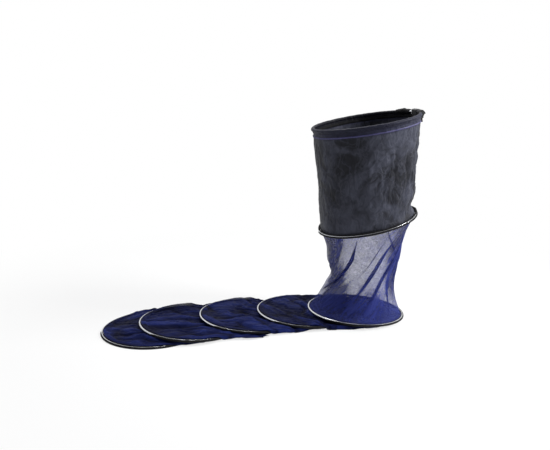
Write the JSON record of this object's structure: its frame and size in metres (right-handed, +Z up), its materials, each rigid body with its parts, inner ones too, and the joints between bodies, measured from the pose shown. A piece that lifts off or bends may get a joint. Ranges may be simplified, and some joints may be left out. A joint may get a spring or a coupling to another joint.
{
  "type": "fishing keepnet",
  "caption": "Round fishing keepnet: black sleeve on a mouth hoop with a stud block, a twisted net tube standing on its hoops, and lower hoops fanned flat beside it.",
  "frame": {"origin": "centre of the base of the box round the whole object, on the ground", "axes": "+X from the bottom hoop along the fan to the standing column, +Z up, +Y to the back"},
  "size_m": [1.3077, 0.5192, 0.8702],
  "materials": {
    "hoop_metal": "bright drawn tube",
    "steel": "plain",
    "brass": "turned",
    "tape": "woven tape",
    "netting": "fine micromesh, lying in layers",
    "open_netting": "fine micromesh, see-through",
    "sleeve_cloth": "coated nylon",
    "black_plastic": "moulded"
  },
  "bodies": {
    "hoop_7": {"ring_7": "hoop_metal", "ring_7_pin": "steel", "ring_7_tape": "tape", "base_net": "netting"},
    "hoop_6": {"ring_6": "hoop_metal", "ring_6_pin": "steel", "ring_6_tape": "tape", "lying_net_6": "netting"},
    "hoop_5": {"ring_5": "hoop_metal", "ring_5_pin": "steel", "ring_5_tape": "tape", "lying_net_5": "netting"},
    "hoop_4": {"ring_4": "hoop_metal", "ring_4_pin": "steel", "ring_4_tape": "tape", "lying_net_4": "netting"},
    "hoop_3": {"ring_3": "hoop_metal", "ring_3_pin": "steel", "ring_3_tape": "tape", "lying_net_3": "netting"},
    "hoop_2": {"ring_2": "hoop_metal", "ring_2_pin": "steel", "ring_2_tape": "tape", "standing_net": "open_netting"},
    "mouth": {"mouth_tube": "hoop_metal", "mouth_hem": "tape", "ring_block": "black_plastic", "block_screws": "steel", "pivot_bolt": "steel", "sleeve": "sleeve_cloth"},
    "arm": {"swivel_arm": "black_plastic", "bank_stick_stud": "brass"},
    "knob": {"lock_knob": "black_plastic", "knob_nut": "brass"}
  },
  "joints": [
    {"name": "hoop_6_slide", "type": "slide", "parent": "hoop_7", "child": "hoop_6", "axis": [-0.9979, 0, 0.0641], "range_m": [0, 0.1483], "deforming": ["lying_net_6"]},
    {"name": "hoop_5_slide", "type": "slide", "parent": "hoop_6", "child": "hoop_5", "axis": [-0.9905, -0.1318, 0.0394], "range_m": [0, 0.2504], "deforming": ["lying_net_5"]},
    {"name": "hoop_4_slide", "type": "slide", "parent": "hoop_5", "child": "hoop_4", "axis": [-0.9991, -0.0041, 0.0433], "range_m": [0, 0.2462], "deforming": ["lying_net_4"]},
    {"name": "hoop_3_slide", "type": "slide", "parent": "hoop_4", "child": "hoop_3", "axis": [-0.9861, 0.1605, 0.0436], "range_m": [0, 0.218], "deforming": ["lying_net_3"]},
    {"name": "hoop_2_slide", "type": "slide", "parent": "hoop_3", "child": "hoop_2", "axis": [-0.071, 0.1449, -0.9869], "range_m": [0, 0.3382], "deforming": ["standing_net"]},
    {"name": "mouth_slide", "type": "slide", "parent": "hoop_2", "child": "mouth", "axis": [0.0164, 0.0355, -0.9992], "range_m": [0, 0.3379], "deforming": ["sleeve"]},
    {"name": "arm_hinge", "type": "hinge", "parent": "mouth", "child": "arm", "pos_m": [0.64227, -0.0404, 0.85695], "axis": [0, -1, 0], "range_deg": [0, 120]},
    {"name": "lock_knob_turn", "type": "hinge", "parent": "mouth", "child": "knob", "pos_m": [0.64227, -0.0204, 0.85695], "axis": [0, 1, 0], "range_deg": [-180, 180]}
  ]
}
